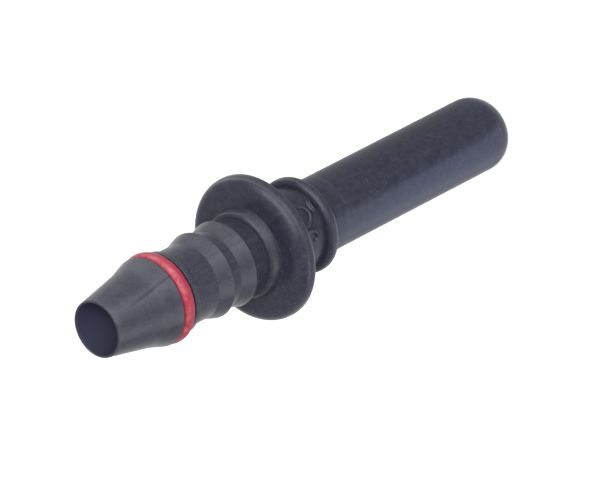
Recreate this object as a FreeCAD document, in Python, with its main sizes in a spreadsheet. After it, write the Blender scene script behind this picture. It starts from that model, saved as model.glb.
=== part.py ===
"""Fuel hose connector: a moulded tube with a barbed hose end, a stop flange and a smooth spigot.

The connector stands on the end of its spigot, its axis along +Z and its origin at the centre of
that end.  From the bottom upwards it is a stack of turned lands: spigot, bead, neck, flange,
boss, hose core with two barbs, rib, seal groove and nose.  The bore runs right through.  Each
land starts where the one below it ends, and the seal ring sits in the groove.
"""
import FreeCAD, Part
import os
import Sketcher

DRIVING_SIZES = {
    "bore_diameter": 4.9,
    "spigot_diameter": 7.89,
    "spigot_length": 28.45,
    "spigot_end_wall": 0.5,
    "spigot_end_curve": 3.0,
    "bead_height": 1.14,
    "bead_land": 0.51,
    "bead_rounding": 0.45,
    "neck_rise": 0.35,
    "neck_length": 5.09,
    "flange_diameter": 15.36,
    "flange_rear_rounding": 0.45,
    "flange_rim": 0.18,
    "flange_front_rounding": 1.4,
    "hose_core_diameter": 8.0,
    "boss_rise": 0.8,
    "boss_taper": 0.33,
    "boss_length": 1.2,
    "boss_edge_break": 0.18,
    "barb_height": 0.57,
    "barb_length": 1.8,
    "barb_gap": 1.46,
    "barb_count": 2,
    "first_barb_offset": 2.14,
    "barb_edge_break": 0.07,
    "hose_core_top": 3.1,
    "rib_height": 0.37,
    "rib_length": 0.66,
    "rib_edge_break": 0.08,
    "seal_section_diameter": 1.75,
    "seal_stand_out": 0.1,
    "seal_seat_clearance": 0.01,
    "seal_side_clearance": 0.12,
    "groove_wall": 0.6,
    "nose_edge_break": 0.08,
    "nose_shoulder_drop": 0.68,
    "nose_shoulder_length": 2.16,
    "nose_blend": 6.0,
    "nose_length": 5.5,
    "mouth_flare": 0.33,
    "mouth_flare_length": 4.5,
    "lip_wall": 0.21,
    "lip_edge_break": 0.08,
    "root_break": 0.15,
}

EDGE_TOLERANCE = 1e-4
ON_AXIS = None
AT_END = None
BASE_LINE_INDEX = -1
AXIS_INDEX = -2
ORIGIN_POINT_INDEX = (-1, 1)

SPIGOT_RADIUS = "sizes.spigot_diameter / 2"
BORE_RADIUS = "sizes.bore_diameter / 2"
SPIGOT_END_RADIUS = BORE_RADIUS + " + sizes.spigot_end_wall"
BEAD_RADIUS = SPIGOT_RADIUS + " + sizes.bead_height"
NECK_RADIUS = SPIGOT_RADIUS + " + sizes.neck_rise"
FLANGE_RADIUS = "sizes.flange_diameter / 2"
HOSE_CORE_RADIUS = "sizes.hose_core_diameter / 2"
BOSS_FOOT_RADIUS = HOSE_CORE_RADIUS + " + sizes.boss_rise"
BOSS_FRONT_RADIUS = BOSS_FOOT_RADIUS + " - sizes.boss_taper"
BARB_RADIUS = HOSE_CORE_RADIUS + " + sizes.barb_height"
RIB_RADIUS = HOSE_CORE_RADIUS + " + sizes.rib_height"
GROOVE_FLOOR_RADIUS = BORE_RADIUS + " + sizes.groove_wall"
SEAL_CENTRE_RADIUS = GROOVE_FLOOR_RADIUS + " + sizes.seal_seat_clearance + sizes.seal_section_diameter / 2"
NOSE_ROOT_RADIUS = SEAL_CENTRE_RADIUS + " + sizes.seal_section_diameter / 2 - sizes.seal_stand_out"
NOSE_SHOULDER_RADIUS = NOSE_ROOT_RADIUS + " - sizes.nose_shoulder_drop"
MOUTH_HOLE_RADIUS = BORE_RADIUS + " + sizes.mouth_flare"
MOUTH_RADIUS = MOUTH_HOLE_RADIUS + " + sizes.lip_wall"

BEAD_LENGTH = "2 * sizes.bead_rounding + sizes.bead_land"
FLANGE_LENGTH = "sizes.flange_rear_rounding + sizes.flange_rim + sizes.flange_front_rounding"
BARB_PITCH = "sizes.barb_length + sizes.barb_gap"
BARBED_LENGTH = "sizes.first_barb_offset + (sizes.barb_count - 1) * (" + BARB_PITCH + ") + sizes.barb_length"
HOSE_CORE_LENGTH = BARBED_LENGTH + " + sizes.hose_core_top"
GROOVE_LENGTH = "sizes.seal_section_diameter + 2 * sizes.seal_side_clearance"

SPIGOT_TOP = "sizes.spigot_length"
BEAD_TOP = SPIGOT_TOP + " + " + BEAD_LENGTH
NECK_TOP = BEAD_TOP + " + sizes.neck_length"
FLANGE_TOP = NECK_TOP + " + " + FLANGE_LENGTH
BOSS_TOP = FLANGE_TOP + " + sizes.boss_length"
HOSE_CORE_TOP = BOSS_TOP + " + " + HOSE_CORE_LENGTH
RIB_TOP = HOSE_CORE_TOP + " + sizes.rib_length"
GROOVE_TOP = RIB_TOP + " + " + GROOVE_LENGTH
NOSE_SHOULDER = GROOVE_TOP + " + sizes.nose_shoulder_length"
MOUTH = NOSE_SHOULDER + " + sizes.nose_length"
FLARE_FOOT = MOUTH + " - sizes.mouth_flare_length"
FIRST_BARB = BOSS_TOP + " + sizes.first_barb_offset"
SEAL_HEIGHT = RIB_TOP + " + (" + GROOVE_LENGTH + ") / 2"


def make_sheet(doc):
    """Put each driving size in a cell of the sheet under its own name."""
    sheet = doc.addObject("Spreadsheet::Sheet", "sizes")
    for row, (name, size) in enumerate(DRIVING_SIZES.items(), start=1):
        sheet.set(f"A{row}", name)
        sheet.set(f"B{row}", str(size))
        sheet.setAlias(f"B{row}", name)
    doc.recompute()
    return sheet


def value(body, formula):
    """Work out a formula of the sheet's names as a plain number."""
    return 0.0 if formula is None else float(body.evalExpression(formula))


def new_sketch(body, name, plane_role):
    """Start a sketch on one of the body's own origin planes."""
    sketch = body.newObject("Sketcher::SketchObject", name)
    plane = next(item for item in body.Origin.OriginFeatures if item.Role == plane_role)
    sketch.AttachmentSupport = [(plane, "")]
    sketch.MapMode = "FlatFace"
    return sketch


def bind(sketch, constraint, name, formula):
    """Add a size to the sketch and tie it to a formula."""
    index = sketch.addConstraint(constraint)
    sketch.renameConstraint(index, name)
    sketch.setExpression("Constraints." + name, formula)


def pin_point(sketch, edge, end, label, corner):
    """Hold one end of an edge at a (radius, height) corner, or on the axis or the base line."""
    radius, height = corner
    if radius is ON_AXIS:
        sketch.addConstraint(Sketcher.Constraint("PointOnObject", edge, end, AXIS_INDEX))
    else:
        place = value(sketch, radius)
        distance = Sketcher.Constraint("DistanceX", *ORIGIN_POINT_INDEX, edge, end, place)
        bind(sketch, distance, label + "_radius", radius)
    if height is AT_END:
        sketch.addConstraint(Sketcher.Constraint("PointOnObject", edge, end, BASE_LINE_INDEX))
    else:
        place = value(sketch, height)
        distance = Sketcher.Constraint("DistanceY", *ORIGIN_POINT_INDEX, edge, end, place)
        bind(sketch, distance, label + "_height", height)


def join_in_ring(sketch, edge_count, smooth_after=()):
    """Join the end of each edge to the start of the next, without a corner after the smooth ones."""
    for edge in range(edge_count):
        following = (edge + 1) % edge_count
        kind = "Tangent" if edge in smooth_after else "Coincident"
        sketch.addConstraint(Sketcher.Constraint(kind, edge, 2, following, 1))


def revolve(body, sketch, name, kind="PartDesign::Revolution"):
    """Turn a half section once round the axis, to add a form or, with a groove, to cut one."""
    turned = body.newObject(kind, name)
    turned.Profile = sketch
    turned.ReferenceAxis = (sketch, ["V_Axis"])
    turned.Angle = 360
    body.Document.recompute()
    return turned


def turned_section(body, name, corners, kind="PartDesign::Revolution"):
    """Turn a straight-sided section, given as (radius, height) corners, round the axis."""
    sketch = new_sketch(body, name + "_section", "XZ_Plane")
    points = [FreeCAD.Vector(value(body, radius), value(body, height), 0) for radius, height in corners]
    for start, stop in zip(points, points[1:] + points[:1]):
        sketch.addGeometry(Part.LineSegment(start, stop))
    join_in_ring(sketch, len(corners))
    for edge, corner in enumerate(corners):
        pin_point(sketch, edge, 1, f"corner_{edge}", corner)
    return revolve(body, sketch, name, kind)


def land(body, name, radius, foot, length):
    """Raise one round land of the stack from its foot."""
    sketch = new_sketch(body, name + "_circle", "XY_Plane")
    sketch.setExpression("AttachmentOffset.Base.z", foot)
    circle_size = value(body, radius)
    sketch.addGeometry(Part.Circle(FreeCAD.Vector(), FreeCAD.Vector(0, 0, 1), circle_size))
    sketch.addConstraint(Sketcher.Constraint("Coincident", 0, 3, *ORIGIN_POINT_INDEX))
    bind(sketch, Sketcher.Constraint("Radius", 0, circle_size), "radius", radius)
    pad = body.newObject("PartDesign::Pad", name)
    pad.Profile = sketch
    pad.setExpression("Length", length)
    body.Document.recompute()
    return pad


def rims(body, places):
    """Name the circular edges of the body's last feature that lie at the given places."""
    feature = body.Tip
    names = []
    for radius, height in places:
        wanted = (value(body, radius), value(body, height))
        for number, edge in enumerate(feature.Shape.Edges, start=1):
            if not isinstance(edge.Curve, Part.Circle):
                continue
            found = (edge.Curve.Radius, edge.Curve.Center.z)
            if max(abs(a - b) for a, b in zip(wanted, found)) < EDGE_TOLERANCE:
                names.append(f"Edge{number}")
    if len(names) < len(places):
        raise RuntimeError("an edge to be worked was not found after " + feature.Label)
    return names


def work_edges(body, name, places, kind, size_name, size):
    """Put one fillet or chamfer on the circular edges at the given places."""
    names = rims(body, places)
    base = body.Tip
    worked = body.newObject(kind, name)
    worked.Base = (base, names)
    worked.setExpression(size_name, size)
    body.Document.recompute()


def round_edges(body, name, places, radius):
    """Round the edges whose curve can be seen."""
    work_edges(body, name, places, "PartDesign::Fillet", "Radius", radius)


def break_edges(body, name, places, size):
    """Ease the small edges and roots with a narrow flat."""
    work_edges(body, name, places, "PartDesign::Chamfer", "Size", size)


def make_spigot(body):
    """Turn the plain tube that the quick coupling slides over; its end is drawn in by an arc."""
    sketch = new_sketch(body, "spigot_section", "XZ_Plane")
    outside = value(body, SPIGOT_RADIUS)
    end = value(body, SPIGOT_END_RADIUS)
    top = value(body, SPIGOT_TOP)
    curve = value(body, "sizes.spigot_end_curve")
    curve_height = (curve ** 2 - (curve - outside + end) ** 2) ** 0.5
    centre = FreeCAD.Vector(outside - curve, curve_height, 0)
    circle = Part.Circle(centre, FreeCAD.Vector(0, 0, 1), curve)
    end_angle = circle.parameter(FreeCAD.Vector(end, 0, 0))
    full_turn = circle.LastParameter
    corners = [(0, 0), (end, 0), (outside, curve_height), (outside, top), (0, top)]
    points = [FreeCAD.Vector(across, up, 0) for across, up in corners]
    sketch.addGeometry(Part.LineSegment(points[0], points[1]))
    sketch.addGeometry(Part.ArcOfCircle(circle, end_angle, full_turn))
    for start, stop in zip(points[2:], points[3:] + points[:1]):
        sketch.addGeometry(Part.LineSegment(start, stop))
    bottom, arc, side, _, axis_edge = range(5)
    join_in_ring(sketch, 5, smooth_after=[arc])
    bind(sketch, Sketcher.Constraint("Radius", arc, curve), "curve_radius", "sizes.spigot_end_curve")
    pin_point(sketch, bottom, 1, "end_centre", (ON_AXIS, AT_END))
    pin_point(sketch, bottom, 2, "end", (SPIGOT_END_RADIUS, AT_END))
    pin_point(sketch, side, 2, "top", (SPIGOT_RADIUS, SPIGOT_TOP))
    pin_point(sketch, axis_edge, 1, "axis", (ON_AXIS, SPIGOT_TOP))
    sketch.addConstraint(Sketcher.Constraint("Vertical", side))
    return revolve(body, sketch, "spigot")


def make_boss(body):
    """Turn the boss, which tapers from the flange's front face to the hose core."""
    turned_section(body, "boss", [
        (ON_AXIS, FLANGE_TOP),
        (BOSS_FOOT_RADIUS, FLANGE_TOP),
        (BOSS_FRONT_RADIUS, BOSS_TOP),
        (ON_AXIS, BOSS_TOP),
    ])


def make_barbs(body):
    """Turn the lowest barb, a ramp that rises towards the flange and drops square, and repeat it."""
    tip = FIRST_BARB + " + sizes.barb_length"
    barb = turned_section(body, "barb", [
        (ON_AXIS, FIRST_BARB),
        (BARB_RADIUS, FIRST_BARB),
        (HOSE_CORE_RADIUS, tip),
        (ON_AXIS, tip),
    ])
    barbs = body.newObject("PartDesign::LinearPattern", "barbs")
    barbs.Originals = [barb]
    barbs.Direction = (barb.Profile[0], ["V_Axis"])
    barbs.Mode = "Spacing"
    barbs.setExpression("Offset", BARB_PITCH)
    barbs.setExpression("Occurrences", "sizes.barb_count")
    body.Tip = barbs
    body.Document.recompute()


def make_nose(body):
    """Turn the lead-in: a steep cone behind the seal that runs out into a slender one."""
    turned_section(body, "nose", [
        (ON_AXIS, GROOVE_TOP),
        (NOSE_ROOT_RADIUS, GROOVE_TOP),
        (NOSE_SHOULDER_RADIUS, NOSE_SHOULDER),
        (MOUTH_RADIUS, MOUTH),
        (ON_AXIS, MOUTH),
    ])


def cut_bore(body):
    """Cut the bore from the spigot's end right through the nose, and open it out at the mouth."""
    solid_volume = body.Shape.Volume
    sketch = new_sketch(body, "bore_circle", "XY_Plane")
    radius = value(body, BORE_RADIUS)
    sketch.addGeometry(Part.Circle(FreeCAD.Vector(), FreeCAD.Vector(0, 0, 1), radius))
    sketch.addConstraint(Sketcher.Constraint("Coincident", 0, 3, *ORIGIN_POINT_INDEX))
    bind(sketch, Sketcher.Constraint("Radius", 0, radius), "radius", BORE_RADIUS)
    bore = body.newObject("PartDesign::Pocket", "bore")
    bore.Profile = sketch
    bore.Type = "ThroughAll"
    bore.Reversed = True
    body.Document.recompute()
    if body.Shape.Volume >= solid_volume:
        raise RuntimeError("the bore cut nothing")
    turned_section(body, "mouth_flare", [
        (ON_AXIS, FLARE_FOOT),
        (BORE_RADIUS, FLARE_FOOT),
        (MOUTH_HOLE_RADIUS, MOUTH),
        (ON_AXIS, MOUTH),
    ], kind="PartDesign::Groove")


def finish_edges(body):
    """Give each moulded edge and root its rounding or its narrow flat."""
    barb_feet = [FIRST_BARB + f" + {index} * (" + BARB_PITCH + ")"
                 for index in range(int(value(body, "sizes.barb_count")))]
    round_edges(body, "flange_front", [(FLANGE_RADIUS, FLANGE_TOP)], "sizes.flange_front_rounding")
    round_edges(body, "flange_rear", [(FLANGE_RADIUS, NECK_TOP)], "sizes.flange_rear_rounding")
    round_edges(body, "bead_rims", [(BEAD_RADIUS, SPIGOT_TOP), (BEAD_RADIUS, BEAD_TOP)],
                "sizes.bead_rounding")
    round_edges(body, "nose_blend", [(NOSE_SHOULDER_RADIUS, NOSE_SHOULDER)], "sizes.nose_blend")
    break_edges(body, "boss_rim", [(BOSS_FRONT_RADIUS, BOSS_TOP)], "sizes.boss_edge_break")
    break_edges(body, "barb_crests", [(BARB_RADIUS, foot) for foot in barb_feet],
                "sizes.barb_edge_break")
    break_edges(body, "rib_rims", [(RIB_RADIUS, HOSE_CORE_TOP), (RIB_RADIUS, RIB_TOP)],
                "sizes.rib_edge_break")
    break_edges(body, "nose_root", [(NOSE_ROOT_RADIUS, GROOVE_TOP)], "sizes.nose_edge_break")
    break_edges(body, "lip", [(MOUTH_RADIUS, MOUTH), (MOUTH_HOLE_RADIUS, MOUTH)],
                "sizes.lip_edge_break")
    break_edges(body, "roots", [
        (SPIGOT_RADIUS, SPIGOT_TOP),
        (NECK_RADIUS, BEAD_TOP),
        (NECK_RADIUS, NECK_TOP),
        (HOSE_CORE_RADIUS, BOSS_TOP),
    ], "sizes.root_break")


def make_connector_body(doc):
    """Build the one-piece moulded connector from the spigot's end up to the nose."""
    body = doc.addObject("PartDesign::Body", "connector_body")
    make_spigot(body)
    land(body, "bead", BEAD_RADIUS, SPIGOT_TOP, BEAD_LENGTH)
    land(body, "neck", NECK_RADIUS, BEAD_TOP, "sizes.neck_length")
    land(body, "flange", FLANGE_RADIUS, NECK_TOP, FLANGE_LENGTH)
    make_boss(body)
    land(body, "hose_core", HOSE_CORE_RADIUS, BOSS_TOP, HOSE_CORE_LENGTH)
    make_barbs(body)
    land(body, "rib", RIB_RADIUS, HOSE_CORE_TOP, "sizes.rib_length")
    land(body, "groove_floor", GROOVE_FLOOR_RADIUS, RIB_TOP, GROOVE_LENGTH)
    make_nose(body)
    cut_bore(body)
    finish_edges(body)
    return body


def make_seal_ring(doc):
    """Build the round seal ring about its own centre and place it in the middle of the groove."""
    body = doc.addObject("PartDesign::Body", "seal_ring")
    body.setExpression("Placement.Base.z", SEAL_HEIGHT)
    sketch = new_sketch(body, "ring_section", "XZ_Plane")
    centre = value(body, SEAL_CENTRE_RADIUS)
    radius = value(body, "sizes.seal_section_diameter / 2")
    sketch.addGeometry(Part.Circle(FreeCAD.Vector(centre, 0, 0), FreeCAD.Vector(0, 0, 1), radius))
    bind(sketch, Sketcher.Constraint("Radius", 0, radius), "section", "sizes.seal_section_diameter / 2")
    pin_point(sketch, 0, 3, "centre", (SEAL_CENTRE_RADIUS, AT_END))
    revolve(body, sketch, "ring")
    return body


def check_model(doc, bodies):
    """Stop if any object failed or any piece is not one sound solid."""
    for item in doc.Objects:
        if {"Invalid", "Error"} & set(item.State):
            raise RuntimeError(item.Label + " did not compute")
    for body in bodies:
        if body.Shape.isNull() or not body.Shape.isValid() or len(body.Shape.Solids) != 1:
            raise RuntimeError(body.Label + " is not one sound solid")


def main():
    """Build both pieces, check them and write one file for each."""
    doc = FreeCAD.newDocument("fuel_hose_connector")
    make_sheet(doc)
    bodies = [make_connector_body(doc), make_seal_ring(doc)]
    doc.recompute()
    check_model(doc, bodies)
    os.makedirs("parts", exist_ok=True)
    for body in bodies:
        body.Shape.exportStep("parts/" + body.Label + ".step")


main()
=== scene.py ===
"""Fuel hose connector: black moulded plastic with a red rubber seal ring, standing on its spigot.

Every length is in metres and every angle in degrees.  The axis is +Z from the centre of the
spigot's end, and the two halves of the mould met on the XZ plane.
"""
import math

import bpy
import numpy as np
from mathutils import Matrix, Vector


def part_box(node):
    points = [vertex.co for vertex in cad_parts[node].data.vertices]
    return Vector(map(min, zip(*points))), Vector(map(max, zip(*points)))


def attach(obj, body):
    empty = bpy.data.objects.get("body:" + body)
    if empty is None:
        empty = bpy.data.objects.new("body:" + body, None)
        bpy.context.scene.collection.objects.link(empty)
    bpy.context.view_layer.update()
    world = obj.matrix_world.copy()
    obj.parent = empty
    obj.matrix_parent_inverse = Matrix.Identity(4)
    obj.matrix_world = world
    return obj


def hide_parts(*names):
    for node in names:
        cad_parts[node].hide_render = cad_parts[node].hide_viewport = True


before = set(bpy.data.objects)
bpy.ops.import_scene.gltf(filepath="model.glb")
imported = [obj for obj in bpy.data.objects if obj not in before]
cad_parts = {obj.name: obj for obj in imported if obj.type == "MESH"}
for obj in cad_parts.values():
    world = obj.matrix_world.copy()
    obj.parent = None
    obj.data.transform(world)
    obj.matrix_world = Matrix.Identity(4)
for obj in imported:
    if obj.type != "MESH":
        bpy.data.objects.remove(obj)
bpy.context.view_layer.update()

# Sizes read from the solids
BODY_LOW, BODY_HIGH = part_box("connector_body")
RING_LOW, RING_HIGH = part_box("seal_ring")
MOUTH = BODY_HIGH.z
FLANGE_RADIUS = BODY_HIGH.x
RING_HEIGHT = (RING_LOW.z + RING_HIGH.z) / 2
RING_SECTION = (RING_HIGH.z - RING_LOW.z) / 2
RING_RADIUS = RING_HIGH.x - RING_SECTION

# Sizes of the turned section, from the spigot's end up
BORE_RADIUS = 0.00245
MOUTH_HOLE_RADIUS, FLARE_LENGTH = 0.00278, 0.0045
SPIGOT_RADIUS = 0.003945
SPIGOT_END_RADIUS, SPIGOT_END_CURVE, SPIGOT_END_CORNER = 0.00295, 0.0029, 0.000894
COLLAR_FOOT, COLLAR_RADIUS = 0.02565, 0.003957
BEAD_FOOT, BEAD_TOP, BEAD_RADIUS = 0.02845, 0.02986, 0.005085
NECK_RADIUS = 0.004295
FLANGE_FOOT, FLANGE_TOP = 0.03495, 0.03698
BOSS_TOP, BOSS_FOOT_RADIUS, BOSS_FRONT_RADIUS = 0.03818, 0.0048, 0.00447
HOSE_CORE_RADIUS = 0.004
BARB_FEET = (0.04032, 0.04358)
BARB_LENGTH, BARB_RADIUS = 0.0018, 0.00457
RIB_FOOT, RIB_TOP, RIB_RADIUS = 0.04848, 0.04914, 0.00437
GROOVE_TOP, GROOVE_RADIUS = 0.05113, 0.00305
NOSE_RADIUS = 0.00471
SHOULDER, SHOULDER_RADIUS = 0.05329, 0.00403
MOUTH_RADIUS = 0.00299

# Roundings of its corners
SHARP = 0.00004
LIP = 0.00008
CREST = 0.0001
ROOT = 0.00025
RIM = 0.00045
BEAD_RIM = 0.0006
FLANGE_FRONT = 0.0014
SHOULDER_CURVE = 0.006

# How finely the section and the pieces are divided
ALONG_STEP = 0.0008
ARC_STEPS, ARC_LEAST_SHARE, ARC_FULL_ROUNDING = 8, 0.35, 0.0006
BODY_SIDES = 216
RING_SIDES, RING_SECTION_SIDES = 240, 48
MARK_SIDES, MARK_SECTION_SIDES = 72, 14


def rounded_outline(corners, step):
    """Round a closed outline of (radius, height, rounding) corners and space points along it.

    Each corner gives way to the arc that touches both its edges: the arc starts
    rounding * tan(turn / 2) before the corner and its points are spaced evenly in angle.  The
    straight stretches are cut into equal parts no longer than step.  An arc gets ARC_STEPS points
    a radian, or less where its rounding is small.  Returned with each point is how crisp an outward
    rounding it lies on: CREST / rounding, at most 1, and 0 elsewhere.
    """
    places = np.array([corner[:2] for corner in corners])
    points, crispness = [], []
    for index, (_, _, rounding) in enumerate(corners):
        here = places[index]
        before = here - places[index - 1]
        after = places[(index + 1) % len(corners)] - here
        before, after = before / np.linalg.norm(before), after / np.linalg.norm(after)
        turn = math.atan2(before[0] * after[1] - before[1] * after[0], before @ after)
        start = here - before * rounding * math.tan(abs(turn) / 2)
        if points:
            gap = start - points[-1][-1]
            parts = max(1, math.ceil(np.linalg.norm(gap) / step))
            share = np.arange(1, parts)[:, None] / parts
            points.append(points[-1][-1] + gap * share)
            crispness.append(np.zeros(len(share)))
        fineness = min(1.0, ARC_LEAST_SHARE + rounding / ARC_FULL_ROUNDING)
        steps = max(3, math.ceil(abs(turn) * ARC_STEPS * fineness))
        angle = abs(turn) * np.linspace(0, 1, steps + 1)
        inward = np.sign(turn) * np.array([-before[1], before[0]])
        centre = start + inward * rounding
        swing = np.cos(angle)[:, None] * (start - centre) + np.sin(angle)[:, None] * before * rounding
        points.append(centre + swing)
        crispness.append(np.full(steps + 1, min(1.0, CREST / rounding) if turn > 0 else 0.0))
    gap = points[0][0] - points[-1][-1]
    parts = max(1, math.ceil(np.linalg.norm(gap) / step))
    points.append(points[-1][-1] + gap * (np.arange(1, parts)[:, None] / parts))
    crispness.append(np.zeros(parts - 1))
    return np.concatenate(points), np.concatenate(crispness)


def body_corners():
    """Corners of the connector's half section, up the outside from the spigot's end and down the bore."""
    corners = [
        (SPIGOT_END_RADIUS, 0.0, CREST),
        (SPIGOT_RADIUS, SPIGOT_END_CORNER, SPIGOT_END_CURVE),
        (SPIGOT_RADIUS, COLLAR_FOOT, SHARP),
        (COLLAR_RADIUS, COLLAR_FOOT + SHARP, SHARP),
        (COLLAR_RADIUS, BEAD_FOOT, ROOT),
        (BEAD_RADIUS, BEAD_FOOT, BEAD_RIM),
        (BEAD_RADIUS, BEAD_TOP, BEAD_RIM),
        (NECK_RADIUS, BEAD_TOP, SHARP),
        (NECK_RADIUS, FLANGE_FOOT, ROOT),
        (FLANGE_RADIUS, FLANGE_FOOT, RIM),
        (FLANGE_RADIUS, FLANGE_TOP, FLANGE_FRONT),
        (BOSS_FOOT_RADIUS, FLANGE_TOP, CREST),
        (BOSS_FRONT_RADIUS, BOSS_TOP, RIM),
        (HOSE_CORE_RADIUS, BOSS_TOP, SHARP),
    ]
    for foot in BARB_FEET:
        corners += [
            (HOSE_CORE_RADIUS, foot, SHARP),
            (BARB_RADIUS, foot, CREST),
            (HOSE_CORE_RADIUS, foot + BARB_LENGTH, SHARP),
        ]
    corners += [
        (HOSE_CORE_RADIUS, RIB_FOOT, SHARP),
        (RIB_RADIUS, RIB_FOOT, CREST),
        (RIB_RADIUS, RIB_TOP, CREST),
        (GROOVE_RADIUS, RIB_TOP, SHARP),
        (GROOVE_RADIUS, GROOVE_TOP, SHARP),
        (NOSE_RADIUS, GROOVE_TOP, CREST),
        (SHOULDER_RADIUS, SHOULDER, SHOULDER_CURVE),
        (MOUTH_RADIUS, MOUTH, CREST),
        (MOUTH_HOLE_RADIUS, MOUTH, LIP),
        (BORE_RADIUS, MOUTH - FLARE_LENGTH, ROOT),
        (BORE_RADIUS, 0.0, SHARP),
    ]
    return corners


def turned_grid(outline, azimuths, lean):
    """Turn an outline of (radius, height) points round the axis; row by row the azimuths lean over."""
    radius, height = outline[:, :1], outline[:, 1:]
    around = np.radians(azimuths[None, :] + lean[:, None])
    return np.stack([radius * np.cos(around), radius * np.sin(around), height + 0 * around], axis=-1)


def add_object(name, data):
    """Put a mesh, a lamp or a camera into the scene as an object at the origin."""
    added = bpy.data.objects.new(name, data)
    bpy.context.scene.collection.objects.link(added)
    return added


def closed_grid_mesh(name, grid):
    """Make a mesh of a grid that closes on itself both ways; its faces point outwards."""
    rows, columns = grid.shape[:2]
    row = np.arange(rows)[:, None]
    column = np.arange(columns)[None, :]
    next_row, next_column = (row + 1) % rows, (column + 1) % columns
    faces = np.stack([
        row * columns + column,
        row * columns + next_column,
        next_row * columns + next_column,
        next_row * columns + column,
    ], axis=-1).reshape(-1, 4)
    mesh = bpy.data.meshes.new(name)
    mesh.vertices.add(rows * columns)
    mesh.vertices.foreach_set("co", grid.reshape(-1).astype(np.float32))
    mesh.loops.add(faces.size)
    mesh.loops.foreach_set("vertex_index", faces.reshape(-1).astype(np.int32))
    mesh.polygons.add(len(faces))
    mesh.polygons.foreach_set("loop_start", (np.arange(len(faces)) * 4).astype(np.int32))
    mesh.polygons.foreach_set("use_smooth", np.ones(len(faces), bool))
    mesh.update(calc_edges=True)
    mesh.validate()
    return add_object(name, mesh)


def point_attribute(piece, name, values):
    """Store one number for each point of a piece for its material to read."""
    attribute = piece.data.attributes.new(name, "FLOAT", "POINT")
    attribute.data.foreach_set("value", np.asarray(values, np.float32).reshape(-1))


def fade(value, start, stop):
    """Go smoothly from 0 at start to 1 at stop: s * s * (3 - 2 * s)."""
    share = np.clip((value - start) / (stop - start), 0, 1)
    return share * share * (3 - 2 * share)


# The flash line that the mould left, darkened as painted shade, and the pale band of painted highlight
# beside it on the nose
FLASH_HEIGHT, FLASH_WIDTH = 0.00003, 0.00012
FLASH_START, FLASH_FADE, FLASH_STOP = 0.0385, 0.0549, 0.0570
FLASH_SHADE_BELOW_NOSE = 0.3
FLASH_SIDES = (0.5, 1.0, 1.4, 2.0, 2.6, 3.6)
LEAN_START, NOSE_LEAN = 0.0521, -1700.0
# Place and width of the pale band of painted highlight beside the flash line
FLASH_HIGHLIGHT_OFFSET, FLASH_HIGHLIGHT_WIDTH = -0.0004, 0.00028


def flash_azimuths(count):
    """Space azimuths evenly and add close ones beside the two lines where the mould closed."""
    even = np.arange(count) * 360.0 / count
    beside = np.array([-side for side in FLASH_SIDES] + [*FLASH_SIDES])
    return np.unique(np.concatenate([even, (beside + 360) % 360, beside + 180]))


def make_body():
    """Turn the connector's section and raise the mould's flash line: r grows by h * exp(-(d / w)^2).

    Here d is the distance round the surface from the line, which runs from the barbs to the nose.
    On the nose it leans over by NOSE_LEAN degrees a metre, with a pale band of painted highlight beside it,
    and fades out before the mouth.
    """
    outline, crispness = rounded_outline(body_corners(), ALONG_STEP)
    azimuths = flash_azimuths(BODY_SIDES)
    radius, height = outline[:, 0], outline[:, 1]
    inside = np.arange(len(height)) > np.argmax(height)
    lean = NOSE_LEAN * np.maximum(height - LEAN_START, 0)
    grid = turned_grid(outline, azimuths, lean)
    off_line = (azimuths + 90) % 180 - 90
    across = np.radians(off_line)[None, :] * radius[:, None]
    strength = fade(height, FLASH_START, BARB_FEET[0]) * (1 - fade(height, FLASH_FADE, FLASH_STOP))
    strength = np.where(inside, 0.0, strength)[:, None]
    on_nose = (height > GROOVE_TOP)[:, None]
    ridge = np.exp(-(across / FLASH_WIDTH) ** 2) * strength
    # A pale band of painted highlight beside the flash line on the nose
    side_highlight = np.exp(-((across - FLASH_HIGHLIGHT_OFFSET) / FLASH_HIGHLIGHT_WIDTH) ** 2) * strength * on_nose
    grid[..., :2] *= (1 + FLASH_HEIGHT * ridge / radius[:, None])[..., None]
    body = closed_grid_mesh("connector", grid)
    # Pale marks: crisp outward roundings, partly wear and partly painted highlight, and the painted
    # highlight beside the flash line
    point_attribute(body, "edge", np.maximum(crispness[:, None], side_highlight))
    # Painted shade that darkens the flash line, weaker below the nose
    point_attribute(body, "flash", ridge * np.where(on_nose, 1.0, FLASH_SHADE_BELOW_NOSE))
    # Points in the bore, which get a paler colour as painted light
    point_attribute(body, "bore", np.broadcast_to(inside[:, None], across.shape))
    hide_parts("connector_body")
    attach(body, "root")
    return body


# Where on the ring's section the painted highlight lies, and how far it spreads
RING_HIGHLIGHT_TURN, RING_HIGHLIGHT_SPREAD = 122, 14


def make_ring():
    """Turn the seal ring's round section about the axis.

    Its points are (R + r * sin t, h - r * cos t).  The painted highlight on its nose side is exp(-(d /
    s)^2), where d is how far t lies from RING_HIGHLIGHT_TURN.
    """
    turn = np.linspace(0, 360, RING_SECTION_SIDES, endpoint=False)
    outline = np.stack([RING_RADIUS + RING_SECTION * np.sin(np.radians(turn)),
                        RING_HEIGHT - RING_SECTION * np.cos(np.radians(turn))], axis=-1)
    grid = turned_grid(outline, np.arange(RING_SIDES) * 360.0 / RING_SIDES, np.zeros(len(turn)))
    ring = closed_grid_mesh("ring", grid)
    # Painted highlight on the ring's nose side
    worn_and_highlighted = np.exp(-((turn - RING_HIGHLIGHT_TURN) / RING_HIGHLIGHT_SPREAD) ** 2)
    point_attribute(ring, "edge", np.broadcast_to(worn_and_highlighted[:, None], grid.shape[:2]))
    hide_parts("seal_ring")
    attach(ring, "root")
    return ring


MARK_HALF_WIDTH, MARK_HEIGHT, MARK_SINK = 0.00026, 0.00027, 0.00004
NECK_MARKS = (
    ("neck_ring_large", -8.0, 0.03205, 0.0011, 0.0011),
    ("neck_ring_small", -39.3, 0.0316, 0.0006, 0.0006),
    ("neck_bar", -2.0, 0.0303, 0.00055, 0.00016),
)


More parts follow.
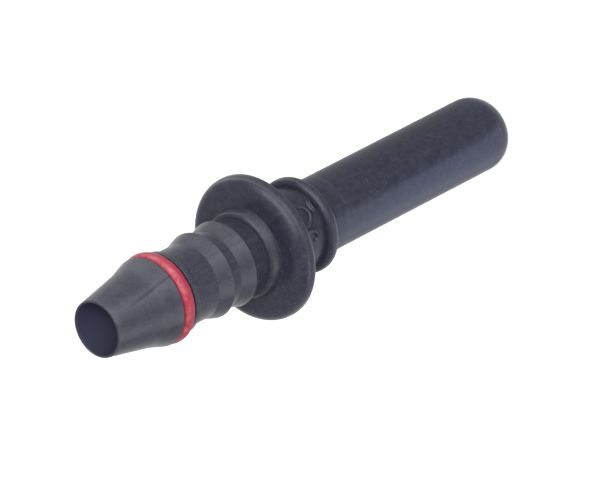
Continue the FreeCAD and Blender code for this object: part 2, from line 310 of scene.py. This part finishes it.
def make_neck_mark(name, azimuth, height, round_reach, up_reach, material):
    """Raise an oval ring on the neck, its section w * sin v wide and h * cos v high.

    Its middle line is the oval (round_reach * cos u, up_reach * sin u) laid on the neck's surface.
    """
    around = np.linspace(0, 2 * np.pi, MARK_SIDES, endpoint=False)[None, :]
    section = np.linspace(0, 2 * np.pi, MARK_SECTION_SIDES, endpoint=False)[:, None]
    widen = MARK_HALF_WIDTH * np.sin(section)
    azimuths = np.radians(azimuth) + (round_reach + widen) * np.cos(around) / NECK_RADIUS
    radius = NECK_RADIUS - MARK_SINK + MARK_HEIGHT * np.cos(section) + 0 * around
    heights = height + (up_reach + widen) * np.sin(around)
    grid = np.stack([radius * np.cos(azimuths), radius * np.sin(azimuths), heights], axis=-1)
    mark = closed_grid_mesh(name, grid)
    mark.data.materials.append(material)
    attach(mark, "root")


def put(tree, kind, inputs, **settings):
    """Add a node, set it up and feed its inputs from numbers, colours or other nodes' outputs."""
    added = tree.nodes.new("ShaderNode" + kind)
    for name, setting in settings.items():
        setattr(added, name, setting)
    for name, source in inputs.items():
        if isinstance(source, bpy.types.NodeSocket):
            tree.links.new(source, added.inputs[name])
        else:
            added.inputs[name].default_value = source
    return added


def multiply(tree, one, other, **settings):
    """Multiply two values."""
    return put(tree, "Math", {0: one, 1: other}, operation="MULTIPLY", **settings).outputs[0]


def start_group(name, inputs, outputs):
    """Start a node group with named inputs, each with its usual value, and named value outputs."""
    group = bpy.data.node_groups.new(name, "ShaderNodeTree")
    for label, kind, usual in inputs:
        socket = group.interface.new_socket(label, in_out="INPUT", socket_type=kind)
        socket.default_value = usual
    for label in outputs:
        group.interface.new_socket(label, in_out="OUTPUT", socket_type="NodeSocketFloat")
    return group, group.nodes.new("NodeGroupInput").outputs, group.nodes.new("NodeGroupOutput").inputs


def make_grain_group():
    """Moulded grain: a fine even noise for the relief and a broad cloudy one for the shade."""
    group, given, result = start_group("moulded_grain", [
        ("Place", "NodeSocketVector", (0, 0, 0)),
        ("Fine Scale", "NodeSocketFloat", 5000.0),
        ("Cloud Scale", "NodeSocketFloat", 500.0),
    ], ["Relief", "Cloud"])
    fine = put(group, "TexNoise", {"Vector": given["Place"], "Scale": given["Fine Scale"],
                                   "Detail": 3.0, "Roughness": 0.6})
    cloud = put(group, "TexNoise", {"Vector": given["Place"], "Scale": given["Cloud Scale"],
                                    "Detail": 4.0, "Roughness": 0.55})
    shade = put(group, "MapRange", {"Value": cloud.outputs["Fac"], "From Min": 0.36, "From Max": 0.64})
    group.links.new(fine.outputs["Fac"], result["Relief"])
    group.links.new(shade.outputs["Result"], result["Cloud"])
    return group


def make_dust_group():
    """Dust: scattered specks where a fine noise peaks, thicker where a broad noise is high."""
    group, given, result = start_group("dust", [
        ("Place", "NodeSocketVector", (0, 0, 0)),
        ("Speck Scale", "NodeSocketFloat", 4000.0),
        ("Cover", "NodeSocketFloat", 0.5),
    ], ["Mask"])
    fine = put(group, "TexNoise", {"Vector": given["Place"], "Scale": given["Speck Scale"],
                                   "Detail": 2.0, "Roughness": 0.7})
    speck = put(group, "MapRange", {"Value": fine.outputs["Fac"], "From Min": 0.60, "From Max": 0.74})
    broad = put(group, "TexNoise", {"Vector": given["Place"], "Scale": 260.0, "Detail": 2.0})
    patch = put(group, "MapRange", {"Value": broad.outputs["Fac"], "From Min": 0.4, "From Max": 0.68,
                                    "To Min": 0.25})
    spread = multiply(group, speck.outputs["Result"], patch.outputs["Result"])
    group.links.new(multiply(group, spread, given["Cover"], use_clamp=True), result["Mask"])
    return group


def make_wear_and_highlight_group():
    """Pale edges, partly wear and partly painted highlight, and scratches: the given edge broken up by
    noise, and long hairlines up the axis.
    """
    group, given, result = start_group("wear_and_highlight", [
        ("Place", "NodeSocketVector", (0, 0, 0)),
        ("Edge", "NodeSocketFloat", 0.0),
        ("Edge Amount", "NodeSocketFloat", 0.5),
        ("Hairlines", "NodeSocketFloat", 0.3),
    ], ["Mask"])
    broken = put(group, "TexNoise", {"Vector": given["Place"], "Scale": 1300.0, "Detail": 4.0})
    patchy = put(group, "MapRange", {"Value": broken.outputs["Fac"], "From Min": 0.35, "From Max": 0.65})
    edge = multiply(group, multiply(group, patchy.outputs["Result"], given["Edge"]), given["Edge Amount"])
    drawn_out = put(group, "Mapping", {"Vector": given["Place"], "Rotation": (0.18, 0.12, 0.0),
                                       "Scale": (1.0, 1.0, 0.06)})
    lines = put(group, "TexNoise", {"Vector": drawn_out.outputs["Vector"], "Scale": 3600.0, "Detail": 2.0,
                                    "Roughness": 0.6})
    thin = put(group, "MapRange", {"Value": lines.outputs["Fac"], "From Min": 0.62, "From Max": 0.74})
    hairline = multiply(group, thin.outputs["Result"], given["Hairlines"])
    total = put(group, "Math", {0: edge, 1: hairline}, operation="ADD", use_clamp=True)
    group.links.new(total.outputs[0], result["Mask"])
    return group


def blend(tree, share, low, high):
    """Mix two colours by a share."""
    mixed = put(tree, "Mix", {"Factor": share}, data_type="RGBA")
    for name, source in (("A", low), ("B", high)):
        socket = next(item for item in mixed.inputs if item.name == name and item.type == "RGBA")
        if isinstance(source, bpy.types.NodeSocket):
            tree.links.new(source, socket)
        else:
            socket.default_value = (*source, 1)
    return next(item for item in mixed.outputs if item.type == "RGBA")


def read_attribute(tree, name):
    """Read one number that the mesh holds for each of its points."""
    return put(tree, "Attribute", {}, attribute_name=name).outputs["Fac"]


def new_material(name, color, roughness, specular):
    """Start a material with its plain constants set on the shader itself."""
    material = bpy.data.materials.new(name)
    material.use_nodes = True
    shader = material.node_tree.nodes["Principled BSDF"]
    shader.inputs["Base Color"].default_value = (*color, 1)
    shader.inputs["Roughness"].default_value = roughness
    shader.inputs["Specular IOR Level"].default_value = specular
    return material, material.node_tree, shader


BLACK = (0.0265, 0.028, 0.0475)
BLACK_CLOUD = (0.0385, 0.0405, 0.062)
# Pale colour for edges and hairlines: wear, and painted highlight on crisp edges
PALE_WEAR_AND_HIGHLIGHT = (0.075, 0.08, 0.105)
DUST_GREY = (0.17, 0.175, 0.19)
# Painted shade on the flash line
FLASH_LINE_SHADE = (0.009, 0.010, 0.018)
# Painted light in the bore
BORE_PAINTED_LIGHT = (0.058, 0.062, 0.102)
BLACK_LOOK = {
    "base": BLACK, "cloud": BLACK_CLOUD, "wear_and_highlight": PALE_WEAR_AND_HIGHLIGHT, "dust": DUST_GREY,
    "fine_scale": 5200.0, "cloud_scale": 1500.0, "cover": 0.6, "edge_amount": 0.4, "hairlines": 0.4,
    "roughness": (0.28, 0.36), "specular": 0.18, "relief": 0.5,
}
RED = (0.395, 0.027, 0.056)
RED_CLOUD = (0.425, 0.033, 0.064)
# Painted highlight on the ring's nose side
RED_PAINTED_HIGHLIGHT = (0.74, 0.27, 0.32)
RED_DUST = (0.60, 0.30, 0.33)
RED_LOOK = {
    "base": RED, "cloud": RED_CLOUD, "wear_and_highlight": RED_PAINTED_HIGHLIGHT, "dust": RED_DUST,
    "fine_scale": 4200.0, "cloud_scale": 520.0, "cover": 0.12, "edge_amount": 0.6, "hairlines": 0.0,
    "roughness": (0.38, 0.50), "specular": 0.2, "relief": 0.3,
}
RELIEF_DEPTH = 0.00002


def make_surface(name, look, effects):
    """Make a moulded surface: cloudy shade, fine grain, pale edges that are partly wear and partly painted
    highlight, and specks of dust.

    Returned with the material is its colour, for a piece that has more to lay over it.
    """
    grain, dust, wear_and_highlight = effects
    smooth, dull = look["roughness"]
    material, tree, shader = new_material(name, look["base"], (smooth + dull) / 2, look["specular"])
    place = put(tree, "TexCoord", {}).outputs["Object"]
    grained = put(tree, "Group", {"Place": place, "Fine Scale": look["fine_scale"],
                                  "Cloud Scale": look["cloud_scale"]}, node_tree=grain).outputs
    dusted = put(tree, "Group", {"Place": place, "Speck Scale": look["fine_scale"],
                                 "Cover": look["cover"]}, node_tree=dust).outputs
    worn_and_highlighted = put(tree, "Group", {"Place": place, "Edge": read_attribute(tree, "edge"),
                                 "Edge Amount": look["edge_amount"],
                                 "Hairlines": look["hairlines"]}, node_tree=wear_and_highlight).outputs
    cloudy = blend(tree, grained["Cloud"], look["base"], look["cloud"])
    # Pale edges: partly wear, partly painted highlight
    with_wear_and_highlight = blend(tree, worn_and_highlighted["Mask"], cloudy, look["wear_and_highlight"])
    specked = blend(tree, dusted["Mask"], with_wear_and_highlight, look["dust"])
    tree.links.new(specked, shader.inputs["Base Color"])
    sheen = put(tree, "MapRange", {"Value": grained["Cloud"], "To Min": smooth, "To Max": dull})
    tree.links.new(sheen.outputs["Result"], shader.inputs["Roughness"])
    bump = put(tree, "Bump", {"Height": grained["Relief"], "Strength": look["relief"],
                              "Distance": RELIEF_DEPTH})
    tree.links.new(bump.outputs["Normal"], shader.inputs["Normal"])
    return material, specked


def make_black_plastic(effects):
    """Satin black polyamide with a blue cast, darker on the flash line as painted shade and paler in the
    bore as painted light.
    """
    material, moulded = make_surface("black_plastic", BLACK_LOOK, effects)
    tree = material.node_tree
    # Painted shade on the flash line
    shaded_line = blend(tree, read_attribute(tree, "flash"), moulded, FLASH_LINE_SHADE)
    # Painted light in the bore
    bore_lit = blend(tree, read_attribute(tree, "bore"), shaded_line, BORE_PAINTED_LIGHT)
    tree.links.new(bore_lit, tree.nodes["Principled BSDF"].inputs["Base Color"])
    return material


def make_red_rubber(effects):
    """Smooth red rubber, lightly dusty, and paler beside the nose as a painted highlight."""
    return make_surface("red_rubber", RED_LOOK, effects)[0]


def seen_plainly(tree):
    """Give 1 where the camera, a reflection or glass looks at a surface, and 0 for its light."""
    light_path = put(tree, "LightPath", {})
    camera_or_gloss = put(tree, "Math", {0: light_path.outputs["Is Camera Ray"],
                                         1: light_path.outputs["Is Glossy Ray"]}, operation="MAXIMUM")
    seen = put(tree, "Math", {0: camera_or_gloss.outputs[0],
                              1: light_path.outputs["Is Transmission Ray"]}, operation="MAXIMUM")
    return seen.outputs[0]


WORLD_LEVEL = 0.44
FLOOR_SIZE = 3.0
FLOOR_GLOW = 0.64


def make_world():
    """Light everything evenly, and show white to the camera and in reflections."""
    world = bpy.data.worlds.new("studio")
    bpy.context.scene.world = world
    world.use_nodes = True
    tree = world.node_tree
    level = put(tree, "MapRange", {"Value": seen_plainly(tree), "To Min": WORLD_LEVEL, "To Max": 1.0})
    background = tree.nodes["Background"]
    background.inputs["Color"].default_value = (1, 1, 1, 1)
    tree.links.new(level.outputs["Result"], background.inputs["Strength"])


def make_floor():
    """Lay a pale floor under the connector that glows where it is seen and keeps the shadow."""
    half = FLOOR_SIZE / 2
    corners = [(-half, -half, 0), (half, -half, 0), (half, half, 0), (-half, half, 0)]
    mesh = bpy.data.meshes.new("floor")
    mesh.from_pydata(corners, [], [(0, 1, 2, 3)])
    floor = add_object("floor", mesh)
    material, tree, shader = new_material("pale_floor", (0.8, 0.8, 0.8), 0.9, 0.0)
    shader.inputs["Emission Color"].default_value = (1, 1, 1, 1)
    glow = multiply(tree, seen_plainly(tree), FLOOR_GLOW)
    tree.links.new(glow, shader.inputs["Emission Strength"])
    mesh.materials.append(material)


# The cards that the spigot mirrors.  Each has a near edge and a far edge, and each edge runs from
# one azimuth and colour to another.
CARD_NEAR, CARD_FAR, CARD_LIFT, CARD_STEPS = 0.0045, 0.040, 0.0004, 41
CARDS = {
    "front_card": (((-13.0, (0.82, 0.86, 1.08)), (60.0, (0.82, 0.86, 1.02))),
                   ((-50.0, (0.37, 0.40, 0.54)), (60.0, (0.37, 0.40, 0.50)))),
    "side_card": (((60.0, (0.60, 0.60, 0.60)), (273.5, (0.90, 0.92, 1.02))),
                  ((60.0, (0.60, 0.60, 0.60)), (230.0, (0.90, 0.92, 1.02)))),
    "foot_card": (((-13.0, (2.70, 3.00, 3.85)), (-86.5, (1.65, 1.72, 2.10))),
                  ((-50.0, (2.70, 3.00, 3.85)), (-130.0, (1.65, 1.72, 2.10)))),
}


def make_card(name, edges):
    """Lay a part of a ring on the floor that only gloss sees: (r * cos a, r * sin a) at two radii."""
    places, colours = [], []
    for radius, (start, stop) in zip((CARD_NEAR, CARD_FAR), edges):
        first_azimuth, first_colour = start
        last_azimuth, last_colour = stop
        azimuths = np.radians(np.linspace(first_azimuth, last_azimuth, CARD_STEPS))
        places.append(np.stack([radius * np.cos(azimuths), radius * np.sin(azimuths),
                                np.full(CARD_STEPS, CARD_LIFT)], axis=-1))
        colours.append(np.linspace((*first_colour, 1.0), (*last_colour, 1.0), CARD_STEPS))
    first = np.arange(CARD_STEPS - 1)
    faces = np.stack([first, first + CARD_STEPS, first + CARD_STEPS + 1, first + 1], axis=-1)
    mesh = bpy.data.meshes.new(name)
    mesh.from_pydata(np.concatenate(places).tolist(), [], faces.tolist())
    shades = mesh.color_attributes.new("card_shade", "FLOAT_COLOR", "POINT")
    shades.data.foreach_set("color", np.concatenate(colours).ravel())
    card = add_object(name, mesh)
    material, tree, shader = new_material(name, (0, 0, 0), 1.0, 0.0)
    shade = put(tree, "Attribute", {}, attribute_name="card_shade")
    tree.links.new(shade.outputs["Color"], shader.inputs["Emission Color"])
    shader.inputs["Emission Strength"].default_value = 1.0
    mesh.materials.append(material)
    card.visible_camera = card.visible_diffuse = card.visible_transmission = card.visible_shadow = False


def make_lamp(name, place, aim, spin, size, radiance, in_gloss):
    """Set one soft rectangular lamp at a place, turned towards its aim and spun about that line.

    A rectangle of area A with radiance L gives out pi * A * L watts.  A lamp is there either for
    the gloss, where it shows as a streak, or for the even light.
    """
    lamp = bpy.data.lights.new(name, "AREA")
    lamp.shape = "RECTANGLE"
    lamp.size, lamp.size_y = size
    lamp.energy = math.pi * size[0] * size[1] * radiance
    holder = add_object(name, lamp)
    facing = (Vector(place) - Vector(aim)).to_track_quat("Z", "Y").to_matrix()
    turned = (facing @ Matrix.Rotation(math.radians(spin), 3, "Z")).to_4x4()
    holder.matrix_world = Matrix.Translation(Vector(place)) @ turned
    holder.visible_camera = False
    holder.visible_glossy = in_gloss
    holder.visible_diffuse = not in_gloss


def out_at(azimuth, distance, height):
    """A place at an azimuth and distance from the axis."""
    around = math.radians(azimuth)
    return (distance * math.cos(around), distance * math.sin(around), height)


# Lamps: a place is an azimuth, a distance from the axis and a height
AIM = (0, 0, 0.04)
KEY_PLACE, KEY_SIZE, KEY_RADIANCE = (-10.0, 0.50, 0.55), (0.35, 0.35), 9.5
HIGH_PLACE, HIGH_SIZE, HIGH_RADIANCE = (22.0, 0.45, 0.32), (0.7, 0.34), 6.5
STANDING_PLACE, STANDING_SIZE, STANDING_RADIANCE = (22.0, 0.52, 0.03), (0.65, 0.06), 7.0
LOW_DISTANCE, LOW_HEIGHT, LOW_SIZE = 0.33, 0.001, (0.33, 0.26)
LOW_PANELS = (
    ("left_panel", 88.0, 5.5),
    ("half_left_panel", 40.0, 5.5),
    ("front_panel", -6.0, 8.5),
    ("right_panel", -75.0, 6.0),
)


def make_lamps():
    """A soft key before the connector, and panels whose streaks show on its slopes."""
    make_lamp("key", out_at(*KEY_PLACE), AIM, 0.0, KEY_SIZE, KEY_RADIANCE, in_gloss=False)
    make_lamp("high_panel", out_at(*HIGH_PLACE), AIM, 0.0, HIGH_SIZE, HIGH_RADIANCE, in_gloss=True)
    for name, azimuth, radiance in LOW_PANELS:
        place = out_at(azimuth, LOW_DISTANCE, LOW_HEIGHT)
        above = (place[0], place[1], 1.0)
        make_lamp(name, place, above, azimuth, LOW_SIZE, radiance, in_gloss=True)
    make_lamp("standing_panel", out_at(*STANDING_PLACE), (0, 0, STANDING_PLACE[2]), 0.0,
              STANDING_SIZE, STANDING_RADIANCE, in_gloss=True)


CAMERA_AZIMUTH, CAMERA_ELEVATION, CAMERA_ROLL = -16.0, 41.68, -117.53
CAMERA_DISTANCE, CAMERA_LENS = 0.70, 420.0
SIGHT_HEIGHT = 0.0312
SIGHT_RIGHT, SIGHT_UP = 0.001536, -0.001775


def make_camera():
    """Set the camera at the photograph's angle; its picture is rolled so that the nose points down left."""
    around, up = math.radians(CAMERA_AZIMUTH), math.radians(CAMERA_ELEVATION)
    back = Vector((math.cos(up) * math.cos(around), math.cos(up) * math.sin(around), math.sin(up)))
    level_right = Vector((-math.sin(around), math.cos(around), 0))
    level_up = back.cross(level_right)
    roll = math.radians(CAMERA_ROLL)
    right = math.cos(roll) * level_right + math.sin(roll) * level_up
    upward = back.cross(right)
    aim = Vector((0, 0, SIGHT_HEIGHT)) + SIGHT_RIGHT * right + SIGHT_UP * upward
    camera = add_object("camera", bpy.data.cameras.new("camera"))
    camera.data.lens = CAMERA_LENS
    camera.data.sensor_width = 36.0
    camera.data.clip_start, camera.data.clip_end = 0.01, 20.0
    turned = Matrix((right, upward, back)).transposed().to_4x4()
    camera.matrix_world = Matrix.Translation(aim + back * CAMERA_DISTANCE) @ turned
    bpy.context.scene.camera = camera


bpy.context.scene.view_settings.view_transform = "Standard"
make_camera()
make_world()
make_floor()
for card, edges in CARDS.items():
    make_card(card, edges)
make_lamps()
effects = (make_grain_group(), make_dust_group(), make_wear_and_highlight_group())
black_plastic = make_black_plastic(effects)
make_body().data.materials.append(black_plastic)
make_ring().data.materials.append(make_red_rubber(effects))
for mark in NECK_MARKS:
    make_neck_mark(*mark, black_plastic)
